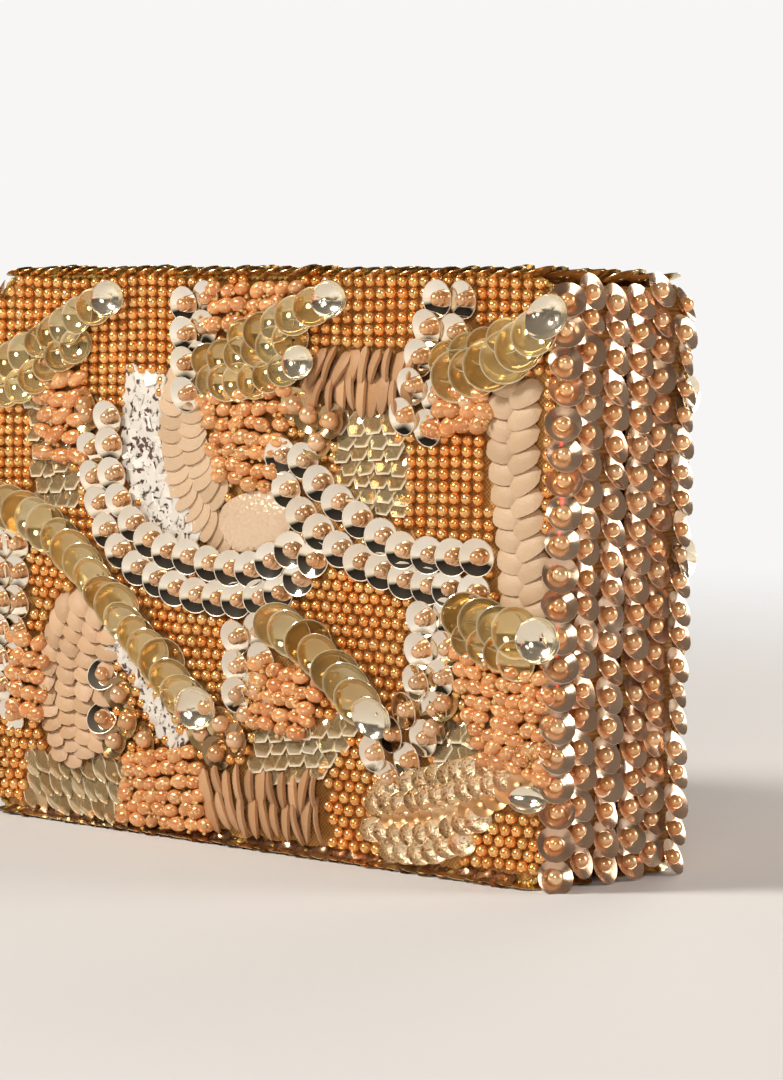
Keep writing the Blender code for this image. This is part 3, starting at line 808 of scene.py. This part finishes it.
def pearl_patch(name, patches, face, body, replaced, claims):
    """Patches of peach pearls: first row, last row, number of rows, pearl length and width."""
    pearls, specks = [], []
    for first, last, rows, long, wide in patches:
        for u, v, heading in patch_rows(first, last, rows, long * 0.86):
            grow = random.uniform(0.92, 1.12)
            pearls.append(seat(face, u + random.uniform(-0.5, 0.5), v + random.uniform(-0.4, 0.4),
                               1.7 + random.uniform(0, 1.0), spin=heading + random.gauss(10, 14),
                               size=(long / 1.45 * grow, wide * grow, wide * grow)))
            for _ in range(2):
                at_u, at_v = u + random.uniform(-0.55, 0.55) * long, v + random.uniform(-0.6, 0.6) * wide
                specks.append(seat(face, at_u, at_v, wide * 0.5 + random.uniform(1.0, 2.0),
                                   size=random.uniform(0.8, 1.3)))
        claims += patch_claims(first, last, rows)
    sew(f"{name}_oblongs", oblong, pearls, peach, body, replaced)
    sew(f"{name}_glitter", speck, specks, glitter, body)


pearl_patch("pearls_left", (
    (((-60, 95.5), (-52, 96)), ((-61, 77), (-51.5, 76)), 6, 6.4, 3.3),
    (((-69.5, 37), (-61, 37)), ((-68, 23), (-61, 22)), 5, 4.6, 3.4),
), FRONT, "front_half", ("pearls_left",), claimed)
pearl_patch("pearls_middle", (
    (((-14, 89), (8, 91)), ((-9, 74), (3, 72)), 7, 4.2, 3.0),
    (((-11, 110.5), (11, 111)), ((-14, 103.5), (-1, 105)), 3, 4.1, 3.0),
    (((2, 37), (18, 34.5)), ((1, 25.5), (13, 24.5)), 5, 4.3, 3.0),
), FRONT, "front_half", ("pearls_middle",), claimed)
pearl_patch("pearls_right", (
    (((53, 42.5), (74, 39.5)), ((60, 24), (74, 21)), 8, 4.0, 2.9),
    (((48, 92), (57, 91)), ((47, 85), (58, 86)), 3, 4.6, 3.4),
), FRONT, "front_half", ("pearls_right",), claimed)
pearl_patch("pearls_base", (
    (((-34, 14.5), (-17, 17.5)), ((-36, 2.6), (-13, 3.5)), 6, 4.2, 3.0),
), FRONT, "front_half", ("pearls_base",), claimed)
pearl_patch("back_pearls", (
    (((56, 78), (40, 70)), ((50, 58), (34, 56)), 6, 4.7, 3.4),
    (((-30, 100), (-10, 102)), ((-24, 90), (-6, 90)), 4, 4.6, 3.3),
    (((-10, 22), (-34, 20)), ((-12, 8), (-36, 7)), 5, 4.6, 3.3),
), BACK, "back_half", (), back_claimed)

# ---------------------------------------------------------------------------------------------
# Bronze cups: small metallic cups, each held by a large pearl, scattered where the larger work
# meets, and two rings that lean beside the wing of scales.
# ---------------------------------------------------------------------------------------------
bronze, *_ = lot_finish("bronze_lustre", (0.34, 0.20, 0.08), (0.72, 0.52, 0.24), 0.2, 0.14, 0.7,
                        Coat_Weight=1.0, Coat_Roughness=0.05)
bronze_spots = ((-47.5, 84.5), (14.5, 86.5), (20.5, 85.5), (17, 81), (11, 88.5), (-8, 24.5), (-9, 18.5),
                (-3.5, 21.5), (-1, 27), (-13, 22), (-37, 28), (-34, 22.5), (-38, 18), (-29, 19.5),
                (50.5, 33), (48, 28.5), (55, 90), (-12, 27.5), (-48, 87))
spots = [seat(FRONT, u, v, 1.4, random.uniform(0, 360), random.uniform(6, 16), size=0.98)
         for u, v in bronze_spots]
sew("front_bronze_cups", cup, spots, bronze, "front_half")
sew("front_bronze_pearls", pearl, [raised(spot, 1.1, 1.9) for spot in spots], champagne, "front_half")
claimed += [((spot, (spot[0] + 0.1, spot[1])), 1.8) for spot in bronze_spots]
spots = [seat(FRONT, u, v, 2.2, 50, 26, size=0.95) for u, v in ((-41.5, 31.5), (-41.5, 22.5))]
sew("front_leaning_rings", ring, spots, ring_metal, "front_half")
sew("front_leaning_pearls", pearl, [raised(spot, 0.9, 1.6) for spot in spots], champagne, "front_half")

# ---------------------------------------------------------------------------------------------
# Leather: nude kid cut into small scales. A plaited column, a wing and a crescent lie flat and
# overlap; the petals stand on edge in two rows, like pleats.
# ---------------------------------------------------------------------------------------------


def dyed_kid(name, colour_a, colour_b, spread):
    """Fine kid, in one dye lot."""
    made, tree, shader, _ = lot_finish(name, colour_a, colour_b, spread, 0.5, Sheen_Weight=0.1)
    bumped(tree, shader, grain, "Scale", 3000.0, 0.3, 0.0002)
    return made


def leaf(long, wide, thick, curl, crown, point):
    """A small cut leaf lying along X, curled along its length and crowned across it."""
    bm = bmesh.new()
    bmesh.ops.create_grid(bm, x_segments=8, y_segments=4, size=1)
    for v in bm.verts:
        t, side = v.co.x, v.co.y
        width = (1 - abs(t) ** 2.6) ** 0.5 * (1 - point * max(t, 0) ** 1.5) * 0.97 + 0.03
        v.co = (t * long / 2, side * wide / 2 * width, curl * t * t + crown * (1 - side * side) * width)
    bmesh.ops.recalc_face_normals(bm, faces=bm.faces[:])
    bmesh.ops.solidify(bm, geom=bm.faces[:], thickness=thick)
    made = shape(bm)
    along, side = np.abs(made["points"][:, 0]) * 2 / long, np.abs(made["points"][:, 1]) * 2 / wide
    widths = np.maximum((1 - np.minimum(along, 1) ** 2.6) ** 0.5, 0.03)
    made["rim"] = np.minimum(np.maximum(along, side / widths / (1 - point * 0.2)), 1)
    return made


kid = dyed_kid("nude_kid", (0.58, 0.395, 0.24), (0.67, 0.485, 0.32), 0.10)
petal_kid = dyed_kid("peach_kid", (0.48, 0.245, 0.105), (0.63, 0.365, 0.185), 0.2)
wing_kid = dyed_kid("wing_kid", (0.57, 0.345, 0.185), (0.70, 0.47, 0.295), 0.16)
scale = leaf(8.0, 5.0, 0.6, -0.5, 0.6, 0.35)
cushion_scale = leaf(8.2, 5.4, 1.1, -0.5, 0.9, 0.05)
thin_scale = leaf(8.6, 7.0, 0.5, -0.25, 0.25, 0.15)
petal = leaf(9.6, 5.0, 0.7, -0.9, 0.45, 0.5)


def scale_columns(name, columns, kind, face, body, replaced, claims, reach, material=kid, loose=4):
    """Columns of overlapping scales: (line, step, angle to the line, lean)."""
    places = []
    for line, step, angle, lean in columns:
        spots = smooth_line(line, step)
        for p, heading in reversed(spots):
            rise = 1.5 + random.uniform(0, 0.15)
            places.append(seat(face, p.x, p.y, rise, heading + 180, lean + random.gauss(0, 1.5),
                               spin=heading + angle + random.gauss(0, loose)))
        claims.append((line, reach))
    sew(name, kind, places, material, body, replaced)


scale_columns("plaited_leather", (
    (((63, 94), (62.4, 84), (64, 72), (65.5, 62), (66.5, 53)), 4.2, 70, 16),
    (((68, 92), (67.6, 82), (69, 70), (70.5, 60), (71.5, 52)), 4.2, 110, 16),
), cushion_scale, FRONT, "front_half", ("leather_braid",), claimed, 4.2)
scale_columns("leather_wing_scales", (
    (((-54, 45), (-58.5, 35), (-59, 25), (-55, 15)), 3.1, 46, 30),
    (((-49.5, 46), (-53, 35), (-53.5, 24), (-51, 14)), 3.1, 54, 30),
    (((-45, 44), (-47.5, 34), (-48, 24), (-48, 16)), 3.1, 62, 30),
    (((-41, 40), (-42.2, 33), (-42.6, 25), (-44, 18)), 3.3, 70, 28),
), scale, FRONT, "front_half", ("leather_wing",), claimed, 3.4, wing_kid, 9)
scale_columns("leather_crescent_scales", (
    (((-23, 91.5), (-23.5, 82), (-21, 72), (-15.5, 65.5), (-8.5, 62)), 2.7, 78, 13),
    (((-18, 90), (-18, 81), (-15, 74), (-11, 70.5)), 2.9, 82, 13),
), thin_scale, FRONT, "front_half", ("leather_crescent",), claimed, 3.8)
foil_kid, tree, shader = finish("pearl_foil_leather", (0.78, 0.58, 0.41), 0.36, 0.35)
bumped(tree, shader, grain, "Scale", 1100.0, 0.4, 0.0005)
smooth_leaf = leaf(22.0, 11.5, 0.6, -0.6, 0.9, 0.1)
sew("leather_foil_leaf", smooth_leaf, [seat(FRONT, 0.2, 65.2, 2.2, spin=12)], foil_kid, "front_half")
claimed.append((((-7, 64), (7, 67)), 5.2))
scale_columns("back_plaited_leather", (
    (((69, 79), (69.5, 58), (68.5, 43)), 4.2, 70, 16), (((64, 78), (64.5, 58), (63.5, 43)), 4.2, 110, 16),
), cushion_scale, BACK, "back_half", ("back_leather_braid",), back_claimed, 4.2)


def petal_rows(name, rows, face, body, replaced, claims):
    """Rows of petals standing on edge: (start, end, angle at the start, angle at the end)."""
    places = []
    for start, end, angle_start, angle_end in rows:
        start, end = Vector(start), Vector(end)
        count = round((end - start).length / 2.9)
        for i in range(count + 1):
            t = i / count
            p = start.lerp(end, t)
            angle = angle_start + (angle_end - angle_start) * t + random.gauss(0, 8)
            v, rise = p.y + random.uniform(-0.9, 0.9), 2.1 + random.uniform(-0.3, 0.3)
            size = (random.uniform(0.82, 1.04), random.uniform(0.9, 1.05), 1.0)
            spot = seat(face, p.x, v, rise, spin=angle, size=size)
            turn = 30 + random.gauss(0, 9) - (12 if i == 0 else 0)
            places.append(spot @ Matrix.Rotation(math.radians(turn), 4, "X"))
        claims.append(((tuple(start), tuple(end)), 4.0))
    sew(name, petal, places, petal_kid, body, replaced)


petal_rows("top_petals", (((15.5, 95), (39.5, 96), -115, -98), ((13.5, 91), (38.5, 90.5), -105, -85)),
           FRONT, "front_half", ("leather_petals_top",), claimed)
petal_rows("base_petals", (((-12.5, 11.5), (17, 12.5), -72, -92), ((-11, 6.6), (18, 6.8), -68, -82)),
           FRONT, "front_half", ("leather_petals_base",), claimed)

# ---------------------------------------------------------------------------------------------
# Clear sequins: bevelled hexagons of clear film, overlapping like tiles in patches, and a patch of
# leaves of the same film at the foot. The cut edges get a painted highlight, a paler colour than the faces.
# ---------------------------------------------------------------------------------------------
clear, tree, shader, ground = lot_finish("clear_film", (1.0, 0.70, 0.33), (1.0, 0.84, 0.52), 0.14,
                                         0.06, 0.15, Transmission_Weight=0.8, Coat_Weight=1.0,
                                         Coat_Roughness=0.06)
cut_edge = rimmed(tree, shader, 0.80, 0.97, "Transmission Weight", 0.78, 0.1)
# Painted highlight: the film's cut edges take a paler colour
painted_rim_highlight(tree, shader, ground, cut_edge, (1.0, 0.89, 0.68))
hexagon = turned_profile(((0.05, 0.3), (2.4, 0.3), (2.95, 0.05), (2.9, -0.1), (0.05, -0.05)), 6)
film_leaf = leaf(7.2, 3.6, 0.4, -0.2, 0.25, 0.6)


def tile_patch(name, patches, kind, replaced, lean=17, turn=0, step=3.9):
    """Patches of overlapping clear tiles on the front, leaning on the row below."""
    places = []
    for first, last, rows in patches:
        for u, v, heading in patch_rows(first, last, rows, step):
            places.append(seat(FRONT, u + random.uniform(-0.4, 0.4), v + random.uniform(-0.4, 0.4), 1.3,
                               heading + 90 + random.gauss(0, 8), lean + random.gauss(0, 2.5),
                               spin=heading + turn + random.gauss(0, 6)))
        claimed.extend(patch_claims(first, last, rows))
    sew(name, kind, places, clear, "front_half", replaced, 30)


tile_patch("clear_hexagons_top", (
    (((22, 85), (35, 86)), ((25, 70.5), (38, 70)), 7),
    (((-65, 88), (-62, 88)), ((-62, 67), (-52, 68)), 7),
), hexagon, ("clear_sequins_top",))
tile_patch("clear_hexagons_base", (
    (((3, 24), (26, 27)), ((0, 15), (17, 17.5)), 4), (((49, 28), (61, 28)), ((48, 20), (57, 21)), 3),
), hexagon, ("clear_sequins_base",))
tile_patch("clear_leaves", ((((-64, 11.5), (-36, 12)), ((-64, 4.5), (-37, 4)), 3),), film_leaf, (),
           lean=12, turn=-52, step=3.3)

# ---------------------------------------------------------------------------------------------
# Foil: crackled pale-gold cups stacked in a spray of four strands round a strand of golden cups,
# and silver-white spangles with dark crackle along the crescent and under the long rope.
# ---------------------------------------------------------------------------------------------
pale_gold, tree, shader = finish("crackled_gold_foil", (0.84, 0.68, 0.44), 0.24, 0.85)
flecked(tree, shader, (1.0, 0.84, 0.60), (0.50, 0.29, 0.12), 1900.0, 0.575, 0.7)
silver_white, tree, shader = finish("crackled_silver_foil", (0.80, 0.79, 0.77), 0.32, 0.25)
flecked(tree, shader, (0.84, 0.80, 0.74), (0.12, 0.06, 0.05), 700.0, 0.585, 0.4)
strands = (((36, 15.5), (47, 18.5), (58, 21.5), (67, 24), (74, 26)),
           ((34, 12.5), (44, 14), (54, 16.5), (66, 20)),
           ((33, 7.5), (42, 7.5), (51, 9.5), (59, 12)), ((38, 4), (47, 4.5), (55, 7)))
places = []
for strand in strands:
    for p, heading in smooth_line(strand, 3.3):
        toward = heading + random.gauss(0, 12)
        places.append(seat(FRONT, p.x, p.y, 1.5, toward, random.gauss(33, 5), size=(0.52, 0.47, 0.5)))
    claimed.append((strand, 2.8))
sew("foil_spray_cups", paillette, places, pale_gold, "front_half", ("foil_spray",))
between = [seat(FRONT, p.x, p.y, 1.5, heading, 30, spin=heading, size=0.7)
           for p, heading in smooth_line(((38, 10), (48, 11.5), (58, 14), (69, 19.5)), 3.4)]
sew("foil_spray_copper", cup, between, golden, "front_half")
claimed.append((((38, 10), (48, 11.5), (58, 14), (66, 18)), 2.6))
sew("foil_spray_disc", paillette, [seat(FRONT, 72, 16.5, 2.2, 60, 30, size=(0.75, 0.5, 0.6))], mirror,
    "front_half")
claimed.append((((69, 16.5), (72, 16.5)), 3.5))

bm = bmesh.new()
bmesh.ops.create_cone(bm, cap_ends=True, segments=5, radius1=2.1, radius2=1.9, depth=0.25)
spangle = shape(bm)
beside_crescent = ((-31, 93), (-31.6, 90), (-32.5, 82), (-30, 72), (-24, 64.5), (-17, 61))
under_rope = ((-41, 40), (-33, 34), (-27, 25), (-20, 19.5))
places = []
for line, rows, covered, reach in ((beside_crescent, (-4.2, -1.4, 1.4, 4.2), beside_crescent[1:], 4.7),
                                   (under_rope, (-1.3, 1.3), under_rope, 2.0)):
    for p, heading in smooth_line(line, 2.5):
        for offset in rows:
            side = math.radians(heading + 90)
            places.append(seat(FRONT, p.x + offset * math.cos(side), p.y + offset * math.sin(side), 1.6,
                               random.uniform(0, 360), random.uniform(6, 18), spin=random.uniform(0, 72)))
    claimed.append((covered, reach))
sew("silver_spangles", spangle, places, silver_white, "front_half", ("silver_band",))

# ---------------------------------------------------------------------------------------------
# Edging: brown cups on edge along the foot of each face, and a twisted gold cord couched round its
# outline. The cord's turns are sewn down one by one.
# ---------------------------------------------------------------------------------------------
brown, *_ = lot_finish("brown_lustre", (0.30, 0.15, 0.08), (0.55, 0.34, 0.20), 0.3, 0.2, 0.8)
gold_thread, tree, shader = finish("gold_thread", (0.56, 0.40, 0.13), 0.35, 0.8)
bumped(tree, shader, weave, "Threads", 5000.0, 0.4, 0.0002)
twist = ball(1.1, 2.3, 6, 5)
TURN = 1.5              # from one turn of the cord to the next
for face, body, half in ((FRONT, "front_half", "front"), (BACK, "back_half", "back")):
    feet = [seat(face, u, 0.7, 1.3, 90, 56 + random.gauss(0, 6), size=random.uniform(0.62, 0.74))
            for u in np.arange(-HALF_WIDTH + 8, HALF_WIDTH - 6, 4.6)]
    sew(f"{half}_foot_cups", cup, feet, brown, body)
    mirrored = 1 if face is FRONT else -1
    ring_line = outline(0.9, 8, 60)
    sides = list(zip(ring_line, ring_line[1:] + ring_line[:1]))
    laid = sum((b - a).length for a, b in sides)
    cord = []
    walked, wanted = 0.0, 0
    for a, b in sides:
        while wanted * TURN <= walked + (b - a).length and wanted * TURN < laid - 0.7:
            p = a.lerp(b, (wanted * TURN - walked) / max((b - a).length, 1e-6))
            heading = math.degrees(math.atan2(b.y - a.y, (b.x - a.x) * mirrored))
            cord.append(seat(face, p.x * mirrored, p.y, 0.35, spin=heading + 25))
            wanted += 1
        walked += (b - a).length
    sew(f"{half}_edge_cord", twist, cord, gold_thread, body)

# ---------------------------------------------------------------------------------------------
# Seed beads: orange-gold lustre beads in close rows over everything that the raised work leaves
# bare, front and back.
# ---------------------------------------------------------------------------------------------
seed_lustre, *_ = lot_finish("orange_gold_lustre", (0.98, 0.40, 0.09), (1.0, 0.60, 0.21), 0.18, 0.2,
                             0.7, Coat_Weight=0.7, Coat_Roughness=0.1)
seed = ball(2.45, 2.4, 8, 6)


def gap_to(points, u, v):
    """Distance in millimetres from a place to a line of points."""
    here = Vector((u, v))
    best = 1e9
    for a, b in zip(points, points[1:]):
        a, b = Vector(a), Vector(b)
        along = b - a
        t = min(max((here - a).dot(along) / along.length_squared, 0), 1)
        best = min(best, (a + along * t - here).length)
    return best


def fill_seeds(name, face, claims, body):
    """Rows of seed beads over a face, in line above and staggered below, leaving out what is claimed."""
    places = []
    pitch_u, pitch_v = 2.8, 2.22
    margin_u, margin_v = 1.5, 1.7
    tall = HEIGHT - 2 * margin_v
    rows = int(tall / pitch_v)
    count = int((2 * HALF_WIDTH - 2 * margin_u) / pitch_u)
    for r in range(1, rows + 1):
        v = margin_v + r * tall / rows
        stagger = 0.5 * (r % 2) if v < HEIGHT / 2 else 0
        for i in range(count + 1):
            u = -HALF_WIDTH + margin_u + (i + stagger) * pitch_u
            v_here = v + noise.noise(Vector((u * 0.05, v * 0.05, 0)))
            corner = Vector((max(abs(u) - HALF_WIDTH + CORNER, 0),
                             max(abs(v_here - HEIGHT / 2) - HEIGHT / 2 + CORNER, 0)))
            if corner.length > CORNER - 1.2 or any(gap_to(line, u, v_here) < half for line, half in claims):
                continue
            at_u, at_v = u + random.uniform(-0.12, 0.12), v_here + random.uniform(-0.12, 0.12)
            rise = 1.15 + random.uniform(-0.1, 0.15)
            places.append(seat(face, at_u, at_v, rise, spin=random.gauss(0, 8),
                               size=random.uniform(0.95, 1.05)))
    sew(name, seed, places, seed_lustre, body)


fill_seeds("front_seed_beads", FRONT, claimed, "front_half")
fill_seeds("back_seed_beads", BACK, back_claimed, "back_half")
